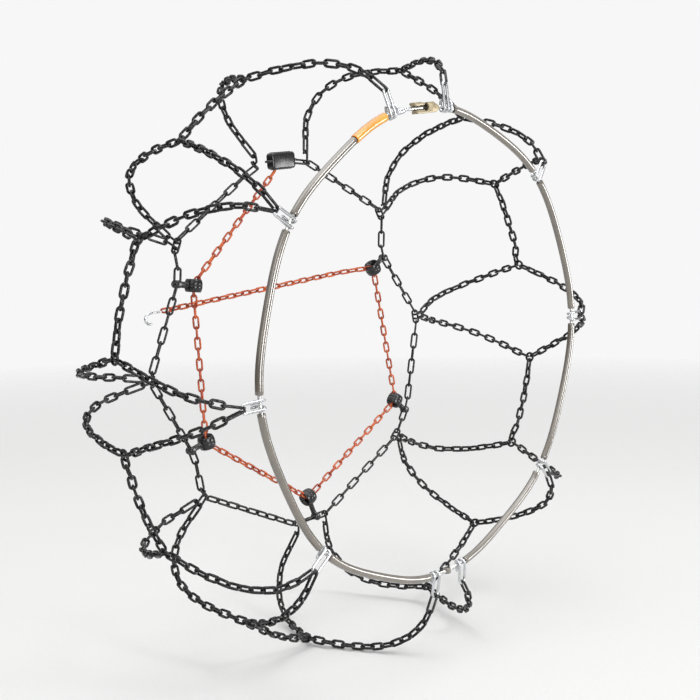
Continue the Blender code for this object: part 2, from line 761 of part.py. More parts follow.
def make_tail(mat, zinc):
    """The free end of the tension chain and the hook that holds it on the side chain."""
    pivot, far, along = tail_frame()
    clear = END_HOOK_EYE_R + END_HOOK_WIRE_R + END_HOOK_TO_TAIL
    corners = [pivot + along * TAIL_START, far - along * clear]
    joints = straight_joints(corners, TENSION_PITCH)
    tail = chain_run("tension_tail", joints, to_side, TENSION_WIDTH, TENSION_WIRE, TAIL_START, mat)
    down = along.cross(Vector((0, 1, 0)))
    points = []
    for turn in range(0, END_HOOK_EYE_DEG + 1, END_HOOK_STEP_DEG):
        a = math.radians(turn - END_HOOK_EYE_DEG)
        points.append(END_HOOK_EYE_R * (along * math.cos(a) - down * math.sin(a)))
    shank_end = points[-1] + along * END_HOOK_SHANK
    for turn in range(0, END_HOOK_BEND_DEG + 1, END_HOOK_STEP_DEG):
        a = math.radians(turn)
        points.append(shank_end + END_HOOK_BEND_R * (along * math.sin(a) + down * (1 - math.cos(a))))
    hook = wire_curve("end_hook", points, END_HOOK_WIRE_R)
    hook.location = far
    return hang("tail_hinge", pivot, [tail, place(hook, zinc)])


def make_outer_side(black, red, plastic, zinc):
    side = (to_side, SIDE_WIDTH, SIDE_WIRE, SIDE_NECK, black)
    tension = (to_side, TENSION_WIDTH, TENSION_WIRE, SIDE_NECK, red)
    pieces = [chain_run("side_chain", straight_joints(side_corners(), SIDE_PITCH), *side)]
    pieces.append(chain_run("tension_chain", straight_joints(tension_corners(), TENSION_PITCH), *tension))
    pieces += [make_guide(number, guide, plastic) for number, guide in enumerate(GUIDES, 1)]
    pieces += make_lock(plastic, zinc)
    pieces.append(make_tail(red, zinc))
    hang("outer_side", Vector((0, SIDE_Y, 0)), pieces)


def main():
    new_scene()
    black_chain = material("black_chain", (0.03, 0.03, 0.033), 0.9, 0.35)
    red_chain = material("red_chain", (0.62, 0.10, 0.04), 0.3, 0.4)
    zinc = material("zinc_wire", (0.78, 0.78, 0.76), 1.0, 0.25)
    yellow_zinc = material("yellow_zinc", (0.74, 0.66, 0.38), 0.9, 0.35)
    steel = material("cable_steel", (0.55, 0.55, 0.54), 1.0, 0.4)
    grey = material("grey_sleeve", (0.42, 0.40, 0.37), 0.0, 0.45)
    orange = material("orange_sleeve", (0.93, 0.45, 0.08), 0.0, 0.4)
    plastic = material("black_plastic", (0.02, 0.02, 0.02), 0.0, 0.45)

    make_cable(steel)
    make_sleeves(grey, orange)
    for hook in range(len(HOOK_DEG)):
        make_inner_hook(hook, zinc)
    make_coupling(yellow_zinc)
    make_cable_fittings(steel, zinc)
    for number, section in enumerate(SECTIONS, 1):
        make_section(number, section, black_chain)
    make_outer_side(black_chain, red_chain, plastic, zinc)


main()
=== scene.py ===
"""Looks for the tyre snow chain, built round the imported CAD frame.

Every chain run becomes separate interlocked links, the hoop gets a stranded cable, moulded sleeves and
bent-wire hooks, and the outer side gets its guides and its lock. Metres, axle along Y, +Z up.
"""

import json
import math
import random

import bmesh
import bpy
import numpy as np
from mathutils import Matrix, Vector


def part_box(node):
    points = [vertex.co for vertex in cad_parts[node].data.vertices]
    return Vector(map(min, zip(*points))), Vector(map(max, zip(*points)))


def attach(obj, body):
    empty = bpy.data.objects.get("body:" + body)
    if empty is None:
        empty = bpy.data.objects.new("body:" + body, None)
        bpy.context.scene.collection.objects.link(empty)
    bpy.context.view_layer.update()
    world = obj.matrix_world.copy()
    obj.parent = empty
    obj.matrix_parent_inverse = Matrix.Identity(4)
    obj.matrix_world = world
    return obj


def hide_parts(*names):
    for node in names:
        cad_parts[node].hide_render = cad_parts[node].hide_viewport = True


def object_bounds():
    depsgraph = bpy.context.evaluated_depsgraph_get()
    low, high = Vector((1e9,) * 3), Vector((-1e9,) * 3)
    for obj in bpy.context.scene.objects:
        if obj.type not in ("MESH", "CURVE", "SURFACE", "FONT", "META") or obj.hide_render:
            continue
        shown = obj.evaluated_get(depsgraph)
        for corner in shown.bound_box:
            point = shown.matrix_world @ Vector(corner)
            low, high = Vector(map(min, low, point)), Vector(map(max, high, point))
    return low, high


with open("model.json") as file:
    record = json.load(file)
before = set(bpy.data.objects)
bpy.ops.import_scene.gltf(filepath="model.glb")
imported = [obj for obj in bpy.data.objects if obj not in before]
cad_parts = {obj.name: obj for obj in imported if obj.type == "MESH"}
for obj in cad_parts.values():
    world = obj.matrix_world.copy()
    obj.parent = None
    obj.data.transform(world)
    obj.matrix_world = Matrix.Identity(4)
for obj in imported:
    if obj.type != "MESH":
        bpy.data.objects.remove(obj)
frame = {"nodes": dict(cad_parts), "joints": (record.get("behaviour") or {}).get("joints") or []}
cad_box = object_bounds()

MM = 0.001
NODES = frame["nodes"]
JOINTS = {joint["name"]: joint for joint in frame["joints"]}
SECTIONS = 8
HOOKS = 10
GUIDES = 5
TO_SIDE = Vector((0, 1, 0))
jitter = random.Random(11)

# The tyre's widest radius, which the net bends round
BULGE_R = 262 * MM

# Net chain
NET_WIDTH = 9.8 * MM
NET_WIRE = 3.0 * MM
NET_PITCH = 12 * MM
END_LINK = 20 * MM
RING_R = 5.6 * MM
RING_TO_LINK = RING_R - NET_WIRE / 2
LOOSE_DEG = 7
LOOSE_SHIFT = 0.45 * MM

# Outer side's chains
SIDE_WIDTH = 9.4 * MM
SIDE_WIRE = 2.6 * MM
TENSION_WIDTH = 8.0 * MM
TENSION_WIRE = 2.3 * MM
TENSION_PITCH = 12 * MM
TAIL_RISE = 4
TILT_DEG = 45
CONNECTOR_WIDTH = 9 * MM
CONNECTOR_WIRE = 2.8 * MM

# Link shape
CORNER_STEPS = 6
WELD_STEPS = (-1.5, -0.8, 0, 0.8, 1.5)
WELD_SWELL = 0.13
LINK_SIDES = 8

# Hoop
CABLE_R = 2.0 * MM
STRANDS = 6
STRAND_R = 0.68 * MM
STRAND_PITCH = 11 * MM
SLEEVE_R = 4.2 * MM
ORANGE_R = 5.0 * MM
SLEEVE_WALL = 1.2 * MM
SLEEVE_EDGE = 0.5 * MM

# Fittings on the cable
FERRULE_R = 3.4 * MM
STUD_R = 4.6 * MM
STUD_HALF = 2.5 * MM
STUD_CROWN = 1.1 * MM

# Inner hooks
HOOK_WIRE_R = 1.6 * MM
HOOK_EYE_R = 4.1 * MM
HOOK_LEG = 4.6 * MM
NARROW_LEG = 3.4 * MM
FREE_END = 9 * MM
END_HOOK_WIRE_R = 1.5 * MM

# Guides
BEAD_R = 10.3 * MM
BEAD_HALF = 7.0 * MM
BEAD_BORE = 4.9 * MM
BEAD_MOUTH = 8.2 * MM
SHANK_R = 3.1 * MM
KNUCKLE_R = 4.6 * MM
KNUCKLE_HALF = 5.2 * MM

# Coupling, along the hoop from its middle and outwards from the cable
PIVOT_FROM_MIDDLE = 33.5 * MM
COUPLING_HALF_THICK = 4.5 * MM
COUPLING_BACK = 1.2 * MM
COUPLING_BEVEL = 0.7 * MM
SWIVEL_R = 2.3 * MM
NIPPLE_LENGTH = 6 * MM
NIPPLE_R = 2.9 * MM

# Depth of the finest grain on zinc plating
PLATING_GRAIN = 0.003 * MM

# Studio: what the camera sees behind the floor, and what lights the object
BACKDROP = 0.93
SKY_LOW = 0.25
SKY_HIGH = 0.7
MIRROR_LOW = 0.10
MIRROR_HIGH = 1.15

# Camera: a low view from the hub side, turned towards the tread
CAMERA_AZIMUTH_DEG = -46.18
CAMERA_ELEVATION_DEG = 5.28
CAMERA_ROLL_DEG = -0.71
CAMERA_DISTANCE = 1389.4 * MM
CAMERA_RIGHT = -11.4 * MM
CAMERA_UP = -1.3 * MM
CAMERA_LENS = 60.57


def unit(vector):
    return np.array(vector, float) / np.linalg.norm(vector)


# Places read from the frame


def cross_sections(node, near, corners):
    """Centres of a swept CAD node's sections, walked from its end nearest to a point."""
    bm = bmesh.new()
    bm.from_mesh(NODES[node].data)
    bmesh.ops.remove_doubles(bm, verts=bm.verts, dist=0.01 * MM)
    bm.verts.index_update()
    ring = sorted(bm.verts, key=lambda v: (v.co - near).length)[:corners]
    walked = set(ring)
    centres = []
    while ring:
        centres.append(sum((v.co for v in ring), Vector()) / len(ring))
        following = {edge.other_vert(v) for v in ring for edge in v.link_edges} - walked
        ring = sorted(following, key=lambda v: v.index)
        walked.update(ring)
    bm.free()
    return centres


def chain_joints(node, near):
    """Where the links of a CAD chain run meet, from its end nearest to a point."""
    rings = cross_sections(node, near, corners=4)
    neck = (rings[2] - rings[1]).length / 2
    joints = [rings[0] + (rings[0] - rings[1]).normalized() * neck]
    joints += [(a + b) / 2 for a, b in zip(rings[1:-1:2], rings[2:-1:2])]
    joints.append(rings[-1] + (rings[-1] - rings[-2]).normalized() * neck)
    return joints


def middle_of(node):
    low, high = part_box(node)
    return (low + high) / 2


def joint_at(name):
    return Vector(JOINTS[name]["pos_m"])


def hook_frame(number):
    """A hook's place on the cable, the cable's direction there and the direction out to the net."""
    centre = joint_at(f"hook_{number}_swing")
    along = Vector(JOINTS[f"hook_{number}_swing"]["axis"]).normalized()
    outward = along.cross(TO_SIDE).normalized()
    outward *= math.copysign(1, outward.dot(centre))
    return centre, along, outward


def hook_reach(number):
    """From the cable's centre to the middle of the wire at the hook's bend."""
    centre, _, outward = hook_frame(number)
    tips = [(v.co - centre).dot(outward) for v in NODES[f"inner_hook_{number}"].data.vertices]
    return max(tips) - HOOK_WIRE_R


# Paths


def distances(path):
    covered = [0.0]
    for start, stop in zip(path, path[1:]):
        covered.append(covered[-1] + (stop - start).length)
    return covered


def points_at(path, wanted):
    covered = distances(path)
    found = []
    for distance in wanted:
        index = max(i for i in range(len(path) - 1) if covered[i] <= max(distance, 0.0))
        part = (distance - covered[index]) / (covered[index + 1] - covered[index])
        found.append(path[index].lerp(path[index + 1], part))
    return found


def even(low, high, count):
    return [low + (high - low) * i / count for i in range(count + 1)]


def arc(middle, radius, start, stop, steps):
    """Points round an arc, in degrees."""
    turns = [math.radians(turn) for turn in even(start, stop, steps)]
    return [(middle[0] + radius * math.cos(t), middle[1] + radius * math.sin(t)) for t in turns]


def link_ends(path, pitch, first=0.0, last=0.0, start=0.0, stop=0.0):
    """Where links meet along a path, between a start and a stop cut from its ends."""
    high = distances(path)[-1] - stop
    low = start + first
    count = max(1, round((high - last - low) / pitch))
    wanted = even(low, high - last, count)
    if first:
        wanted.insert(0, start)
    if last:
        wanted.append(high)
    return points_at(path, wanted)


def smooth(points, steps):
    """A Catmull-Rom curve through points."""
    ends = [points[0] * 2 - points[1]] + list(points) + [points[-1] * 2 - points[-2]]
    found = []
    for a, b, c, d in zip(ends, ends[1:], ends[2:], ends[3:]):
        bend = a * 2 - b * 5 + c * 4 - d
        twist = b * 3 - a - c * 3 + d
        for i in range(steps):
            t = i / steps
            found.append((b * 2 + (c - a) * t + bend * t ** 2 + twist * t ** 3) / 2)
    found.append(points[-1])
    return found


def off_tyre(point):
    """The direction away from the tyre at a point of the net."""
    radial = Vector((point.x, 0, point.z)).normalized()
    return (point - radial * BULGE_R).normalized()


def to_side(_):
    return TO_SIDE


# Meshes


class Piece:
    """Collects skinned shapes, then becomes one mesh object that rides on a CAD body."""

    def __init__(self):
        self.verts = []
        self.faces = []
        self.uvs = []
        self.wear = []
        self.count = 0

    def skin(self, rings, along, closed=False, wear=None):
        """Joins rings of points in order. Along holds each ring's distance for the texture."""
        rings = np.asarray(rings, float)
        number, sides = rings.shape[:2]
        self.verts.append(rings.reshape(-1, 3))
        worn = np.zeros(number) if wear is None else np.asarray(wear, float)
        self.wear.append(np.repeat(worn, sides))
        spans = number if closed else number - 1
        i, k = np.meshgrid(np.arange(spans), np.arange(sides), indexing="ij")
        following = (i + 1) % number
        beside = (k + 1) % sides
        corners = (i * sides + k, i * sides + beside, following * sides + beside, following * sides + k)
        self.faces += (np.stack(corners, -1).reshape(-1, 4) + self.count).tolist()
        along = np.append(along, along[-1] + np.linalg.norm(rings[0, 0] - rings[-1, 0]))
        girth = np.linalg.norm(rings[:, 1] - rings[:, 0], axis=1).mean()
        u = np.stack((along[i], along[i], along[i + 1], along[i + 1]), -1)
        v = np.stack((k, k + 1, k + 1, k), -1) * girth
        self.uvs.append(np.stack((u, v), -1).reshape(-1, 2))
        if not closed:
            around = self.count + np.arange(sides)
            for cap in (around[::-1], around + (number - 1) * sides):
                self.faces.append(cap.tolist())
                self.uvs.append(np.zeros((sides, 2)))
        self.count += number * sides

    def tube(self, path, radii, sides=12, closed=False, wear=None, upright=None):
        """A round tube along a path, with one radius or one for each point."""
        points = np.array(path, float)
        radii = np.broadcast_to(np.asarray(radii, float), len(points))
        across, beyond = cross_axes(points, closed, upright)
        turn = np.arange(sides) / sides * 2 * math.pi
        ring = across[:, None] * np.cos(turn)[None, :, None] + beyond[:, None] * np.sin(turn)[None, :, None]
        rings = points[:, None] + ring * radii[:, None, None]
        steps = np.linalg.norm(np.diff(points, axis=0), axis=1)
        self.skin(rings, np.append(0, np.cumsum(steps)), closed, wear)

    def turned(self, base, axis, profile, sides=32, closed=False):
        """A profile of (distance, radius) pairs turned about an axis."""
        axis = unit(axis)
        across = unit(np.cross(axis, (0.3, 0.5, 0.81)))
        beyond = np.cross(axis, across)
        turn = np.arange(sides) / sides * 2 * math.pi
        ring = across * np.cos(turn)[:, None] + beyond * np.sin(turn)[:, None]
        rings = [np.array(base) + axis * at + ring * radius for at, radius in profile]
        spans = [math.dist(a, b) for a, b in zip(profile, profile[1:])]
        self.skin(rings, np.append(0, np.cumsum(spans)), closed)

    def done(self, name, mat, body, replaces=()):
        mesh = bpy.data.meshes.new(name)
        mesh.from_pydata(np.concatenate(self.verts).tolist(), [], self.faces)
        layer = mesh.uv_layers.new(name="UVMap")
        layer.data.foreach_set("uv", np.concatenate(self.uvs).astype(np.float32).ravel())
        wear = mesh.attributes.new("wear", "FLOAT", "POINT")
        wear.data.foreach_set("value", np.concatenate(self.wear).astype(np.float32))
        mesh.shade_smooth()
        mesh.set_sharp_from_angle(angle=math.radians(50))
        mesh.materials.append(mat)
        obj = bpy.data.objects.new(name, mesh)
        bpy.context.scene.collection.objects.link(obj)
        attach(obj, body)
        if replaces:
            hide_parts(*replaces)
        return obj


def cross_axes(points, closed, upright):
    """Two axes across a path at each point, turned as little as possible from one to the next."""
    if closed:
        tangents = np.roll(points, -1, 0) - np.roll(points, 1, 0)
    else:
        tangents = np.gradient(points, axis=0)
    tangents /= np.linalg.norm(tangents, axis=1)[:, None]
    axis = np.cross(tangents[0], (0.31, 0.52, 0.79)) if upright is None else np.array(upright, float)
    across = []
    for tangent in tangents:
        axis = unit(axis - tangent * axis.dot(tangent))
        across.append(axis)
    across = np.array(across)
    return across, np.cross(tangents, across)


def link_outline(length, width):
    """Centre line of a welded link, with points set close together at the weld."""
    radius = width / 2
    reach = length / 2 - radius
    points = [(MM * x, -radius) for x in WELD_STEPS]
    for middle, start in ((reach, -90), (-reach, 90)):
        points += arc((middle, 0), radius, start, start + 180, 2 * CORNER_STEPS)
    return np.array(points)


def add_link(piece, start, stop, width_axis, width, wire):
    """A link whose ends hook over the joints at its start and its stop."""
    start, stop = np.array(start), np.array(stop)
    span = np.linalg.norm(stop - start)
    along = (stop - start) / span
    side = unit(width_axis - along * np.dot(width_axis, along))
    flat = link_outline(span + wire, width - wire)
    middle = (start + stop) / 2
    points = middle + flat[:, :1] * along + flat[:, 1:] * side
    swell = np.ones(len(points))
    weld = len(WELD_STEPS)
    swell[:weld] += WELD_SWELL * np.cos(np.linspace(-math.pi / 2, math.pi / 2, weld)) ** 2
    rubbed = np.clip((np.abs(flat[:, 0]) - span / 2) / (wire / 2), 0, 1)
    piece.tube(points, swell * wire / 2, LINK_SIDES, closed=True, wear=rubbed, upright=np.cross(along, side))


def add_chain(piece, joints, outward, width, wire, first_roll, last_roll=None, loose=LOOSE_DEG, shift=0.0):
    """Links between joints, each a quarter turn on from the one before it.

    Roll 0 lies flat and 90 stands on edge. Where the last link's roll is given, the run twists a little
    all along to meet it.
    """
    joints = [Vector(joint) for joint in joints]
    for joint in joints[1:-1]:
        joint += Vector([jitter.uniform(-shift, shift) for _ in range(3)])
    count = len(joints) - 1
    twist = 0.0
    if last_roll is not None:
        twist = (last_roll - first_roll - 90 * (count - 1) + 90) % 180 - 90
    for index, (start, stop) in enumerate(zip(joints, joints[1:])):
        along = (stop - start).normalized()
        up = outward((start + stop) / 2)
        up = (up - along * up.dot(along)).normalized()
        roll = first_roll + 90 * index + twist * index / max(1, count - 1)
        roll = math.radians(roll + jitter.uniform(-loose, loose))
        across = along.cross(up) * math.cos(roll) + up * math.sin(roll)
        add_link(piece, start, stop, np.array(across), width, wire)


def add_ring(piece, centre, normal, radius, wire, steps=24):
    normal = Vector(normal).normalized()
    across = normal.orthogonal().normalized()
    beyond = normal.cross(across)
    turns = [2 * math.pi * i / steps for i in range(steps)]
    points = [centre + (across * math.cos(t) + beyond * math.sin(t)) * radius for t in turns]
    piece.tube(points, wire / 2, 10, closed=True, upright=normal)


def rounded(half_a, half_b, corner, steps=5):
    """Corners of a rounded rectangle, the same number for every size."""
    points = []
    for quarter, (a, b) in enumerate(((1, 1), (-1, 1), (-1, -1), (1, -1))):
        for turn in even(90 * quarter, 90 * quarter + 90, steps):
            t = math.radians(turn)
            across = a * (half_a - corner) + corner * math.cos(t)
            points.append((across, b * (half_b - corner) + corner * math.sin(t)))
    return points


def add_moulding(piece, centre, axes, sections):
    """A shape of rounded rectangles stacked along the third axis, each (half, half, corner, height) in mm."""
    first, second, third = axes
    rings = []
    for half_a, half_b, corner, height in sections:
        ring = [first * a + second * b + third * height for a, b in rounded(half_a, half_b, corner)]
        rings.append([centre + point * MM for point in ring])
    spans = [math.dist(rings[i][0], rings[i + 1][0]) for i in range(len(rings) - 1)]
    piece.skin(rings, np.append(0, np.cumsum(spans)))


def make_plate(name, layers, matrix, bevel, mat, body, replaces):
    """Outlines raised between two heights, with rounded edges."""
    bm = bmesh.new()
    for outline, low, high in layers:
        face = bm.faces.new([bm.verts.new((x, y, low)) for x, y in outline])
        raised = bmesh.ops.extrude_face_region(bm, geom=[face])
        tops = [item for item in raised["geom"] if isinstance(item, bmesh.types.BMVert)]
        bmesh.ops.translate(bm, vec=(0, 0, high - low), verts=tops)
    bmesh.ops.recalc_face_normals(bm, faces=bm.faces)
    uv = bm.loops.layers.uv.new("UVMap")
    for face in bm.faces:
        for loop in face.loops:
            loop[uv].uv = (loop.vert.co.x, loop.vert.co.y + loop.vert.co.z)
    mesh = bpy.data.meshes.new(name)
    bm.to_mesh(mesh)
    bm.free()
    blank = bpy.data.objects.new(name, mesh)
    bpy.context.scene.collection.objects.link(blank)
    edge = blank.modifiers.new("edges", "BEVEL")
    edge.width = bevel
    edge.segments = 3
    edge.angle_limit = math.radians(40)
    bpy.context.view_layer.update()
    mesh = bpy.data.meshes.new_from_object(blank.evaluated_get(bpy.context.evaluated_depsgraph_get()))
    bpy.data.objects.remove(blank, do_unlink=True)
    mesh.transform(matrix)
    mesh.shade_smooth()
    mesh.set_sharp_from_angle(angle=math.radians(50))
    mesh.materials.clear()
    mesh.materials.append(mat)
    obj = bpy.data.objects.new(name, mesh)
    bpy.context.scene.collection.objects.link(obj)
    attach(obj, body)
    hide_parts(*replaces)


# Materials


class Nodes:
    """Short calls for a material's node tree."""

    def __init__(self, name):
        self.mat = bpy.data.materials.new(name)
        self.mat.use_nodes = True
        self.tree = self.mat.node_tree
        self.shader = self.tree.nodes["Principled BSDF"]

    def add(self, kind, inputs=None, **settings):
        node = self.tree.nodes.new(kind)
        for key, value in settings.items():
            setattr(node, key, value)
        for key, value in (inputs or {}).items():
            if isinstance(value, bpy.types.NodeSocket):
                self.tree.links.new(value, node.inputs[key])
            else:
                node.inputs[key].default_value = value
        return node

    def noise(self, where, scale, detail=3.0, stretch=(1, 1, 1)):
        mapped = self.add("ShaderNodeMapping", {"Vector": where, "Scale": stretch})
        inputs = {"Vector": mapped.outputs["Vector"], "Scale": scale, "Detail": detail}
        return self.add("ShaderNodeTexNoise", inputs).outputs["Fac"]

    def ramp(self, value, low, high, to_low=0.0, to_high=1.0):
        inputs = {"Value": value, "From Min": low, "From Max": high, "To Min": to_low, "To Max": to_high}
        return self.add("ShaderNodeMapRange", inputs).outputs["Result"]

    def mix(self, fac, a, b):
        node = self.add("ShaderNodeMix", data_type="RGBA")
        for key, value in (("Factor", fac), ("A", a), ("B", b)):
            socket = next(s for s in node.inputs if s.name == key and s.enabled and s.type != "VECTOR")
            if isinstance(value, bpy.types.NodeSocket):
                self.tree.links.new(value, socket)
            else:
                socket.default_value = (*value, 1) if isinstance(value, tuple) else value
        return next(s for s in node.outputs if s.enabled)

    def maths(self, operation, a, b):
        return self.add("ShaderNodeMath", {0: a, 1: b}, operation=operation).outputs[0]

    def link(self, output, name):
        self.tree.links.new(output, self.shader.inputs[name])

    def bump(self, height, depth, strength=1.0):
        inputs = {"Height": height, "Distance": depth, "Strength": strength}
        self.link(self.add("ShaderNodeBump", inputs).outputs["Normal"], "Normal")

    def set(self, **values):
        for key, value in values.items():
            self.shader.inputs[key.replace("_", " ")].default_value = value


def chain_material(name, light, dark, metallic, roughness, worn, wear_amount, coat):
    """Coated chain wire: uneven tone, fine drawn lines, and bare metal where links rub."""
    n = Nodes(name)
    where = n.add("ShaderNodeTexCoord").outputs["Object"]
    uv = n.add("ShaderNodeTexCoord").outputs["UV"]
    clouds = n.noise(where, 90)
    grain = n.noise(where, 1400, 4)
    lines = n.noise(uv, 900, 2, (0.12, 1, 1))
    edge = n.ramp(n.add("ShaderNodeNewGeometry").outputs["Pointiness"], 0.54, 0.62)
    rubbed = n.add("ShaderNodeAttribute", attribute_name="wear").outputs["Fac"]
    chips = n.ramp(n.noise(where, 520, 4), 0.50, 0.60)
    wear = n.maths("MULTIPLY", n.maths("ADD", rubbed, edge), chips)
    wear = n.maths("MULTIPLY", wear, wear_amount)
    tone = n.mix(n.ramp(clouds, 0.35, 0.65), dark, light)
    n.link(n.mix(wear, tone, worn), "Base Color")
    n.link(n.ramp(wear, 0, 1, metallic, 1.0), "Metallic")
    n.link(n.ramp(n.maths("ADD", clouds, grain), 0.7, 1.3, roughness[0], roughness[1]), "Roughness")
    n.bump(n.maths("ADD", n.maths("MULTIPLY", grain, 0.6), lines), 0.06 * MM)
    n.set(Coat_Weight=coat, Coat_Roughness=0.15, Specular_IOR_Level=0.25)
    return n.mat


def plated_material(name, light, dark, tint, roughness, metallic=1.0):
    """Zinc plating on drawn wire or a pressed plate, with faint clouding and drawn lines."""
    n = Nodes(name)
    where = n.add("ShaderNodeTexCoord").outputs["Object"]
    uv = n.add("ShaderNodeTexCoord").outputs["UV"]
    clouds = n.noise(where, 140)
    patches = n.noise(where, 45, 2)
    lines = n.noise(uv, 1100, 2, (0.03, 1, 1))
    grain = n.noise(where, 2200, 3)
    base = n.mix(n.ramp(clouds, 0.3, 0.7), dark, light)
    n.link(n.mix(n.ramp(patches, 0.5, 0.7, 0, 0.6), base, tint), "Base Color")
    n.link(n.ramp(n.maths("ADD", clouds, lines), 0.7, 1.3, roughness[0], roughness[1]), "Roughness")
    n.bump(n.maths("ADD", n.maths("MULTIPLY", grain, 0.4), lines), PLATING_GRAIN)
    n.set(Metallic=metallic)
    return n.mat


def plastic_material(name, light, dark, roughness, grain_scale, depth, coat, metallic, scuff):
    """Moulded or extruded plastic: slow tone changes, flow lines along the part and fine scuffs."""
    n = Nodes(name)
    where = n.add("ShaderNodeTexCoord").outputs["Object"]
    uv = n.add("ShaderNodeTexCoord").outputs["UV"]
    clouds = n.noise(where, 35, 3)
    grain = n.noise(where, grain_scale, 5)
    lines = n.noise(uv, 500, 2, (0.02, 1, 1))
    scratches = n.ramp(n.noise(uv, 160, 5, (0.25, 2.2, 1)), 0.63, 0.70)
    tone = n.mix(n.ramp(clouds, 0.35, 0.65), dark, light)
    n.link(n.mix(n.maths("MULTIPLY", scratches, 0.2), tone, scuff), "Base Color")
    spread = n.maths("ADD", n.maths("MULTIPLY", scratches, 0.4), n.maths("ADD", grain, clouds))
    n.link(n.ramp(spread, 0.7, 1.6, roughness[0], roughness[1]), "Roughness")
    n.bump(n.maths("ADD", n.maths("MULTIPLY", lines, 0.8), grain), depth)
    n.set(Metallic=metallic, Coat_Weight=coat, Coat_Roughness=0.15, Coat_IOR=1.9)
    return n.mat


def cable_material():
    """Galvanised strands, with painted shade darkening the valleys of the lay."""
    n = Nodes("cable_steel_look")
    where = n.add("ShaderNodeTexCoord").outputs["Object"]
    uv = n.add("ShaderNodeTexCoord").outputs["UV"]
    clouds = n.noise(where, 160)
    wires = n.noise(uv, 1600, 2, (0.15, 1, 1))
    # Painted shade: concave places between the strands, found by pointiness, are mixed towards a dark grey.
    lay_shade = n.ramp(n.add("ShaderNodeNewGeometry").outputs["Pointiness"], 0.40, 0.50)
    tone = n.mix(n.ramp(clouds, 0.3, 0.7), (0.62, 0.62, 0.61), (0.80, 0.80, 0.78))
    # The dark grey here is painted shade in the lay's valleys.
    n.link(n.mix(lay_shade, (0.22, 0.21, 0.20), tone), "Base Color")
    n.link(n.ramp(wires, 0.3, 0.7, 0.25, 0.45), "Roughness")
    n.bump(wires, 0.08 * MM)
    n.set(Metallic=1.0)
    return n.mat


# Hoop


def hoop_path():
    stations = cross_sections("hoop_cable", middle_of("cable_ferrule"), corners=6)
    return smooth(stations, 4)


def part_of_path(path, ends):
    """The stretch of a path between the places nearest to two points, ending on those points."""
    places = [(min(range(len(path)), key=lambda i: (path[i] - end).length), end) for end in ends]
    (low, start), (high, stop) = sorted(places, key=lambda place: place[0])
    return [start] + path[low + 1 : high] + [stop]


def make_cable(path, mat):
    piece = Piece()
    total = distances(path)[-1]
    core = points_at(path, even(0, total, round(total / (1.4 * MM))))
    piece.tube(core, CABLE_R - STRAND_R, 6)
    points = np.array(core)
    across, beyond = cross_axes(points, False, (0, 1, 0))
    turns = np.array(even(0, total / STRAND_PITCH * 2 * math.pi, len(core) - 1))[:, None]
    for strand in range(STRANDS):
        angle = turns + 2 * math.pi * strand / STRANDS
        lay = across * np.cos(angle) + beyond * np.sin(angle)
        piece.tube(points + lay * (CABLE_R - STRAND_R), STRAND_R, 6)
    piece.done("cable", mat, "hoop", ["hoop_cable"])


def make_sleeve(node, path, radius, mat):
    """A hollow sleeve with a rounded lip at both ends."""
    near = joint_at("cable_end_release")
    stations = cross_sections(node, near, corners=12)
    run = part_of_path(path, (stations[0], stations[-1]))
    length = distances(run)[-1]
    inner = even(0, length, max(4, round(length / (4 * MM))))
    lip = SLEEVE_EDGE
    outer = [0.3 * lip, lip] + inner[1:-1] + [length - lip, length - 0.3 * lip]
    places = inner[:1] + outer + inner[-1:] + inner[::-1]
    bore = radius - SLEEVE_WALL
    radii = [radius - lip, radius - 0.3 * lip] + [radius] * (len(outer) - 2)
    radii += [radius - 0.3 * lip, radius - lip] + [bore] * len(inner)
    order = np.argsort(places, kind="stable")
    points = np.array(points_at(run, [places[i] for i in order]))
    distinct = np.append(True, np.linalg.norm(np.diff(points, axis=0), axis=1) > 1e-7)
    across, beyond = cross_axes(points[distinct], False, (0, 1, 0))
    index = np.cumsum(distinct) - 1
    axes = {place: (points[i], across[index[i]], beyond[index[i]]) for i, place in enumerate(order)}
    turn = np.arange(24) / 24 * 2 * math.pi
    rings = []
    for place, ring_radius in enumerate(radii):
        centre, a, b = axes[place]
        rings.append(centre + ring_radius * (a * np.cos(turn)[:, None] + b * np.sin(turn)[:, None]))
    piece = Piece()
    piece.skin(rings, np.array(places), closed=True)
    piece.done(f"{node}_moulded", mat, "hoop", [node])


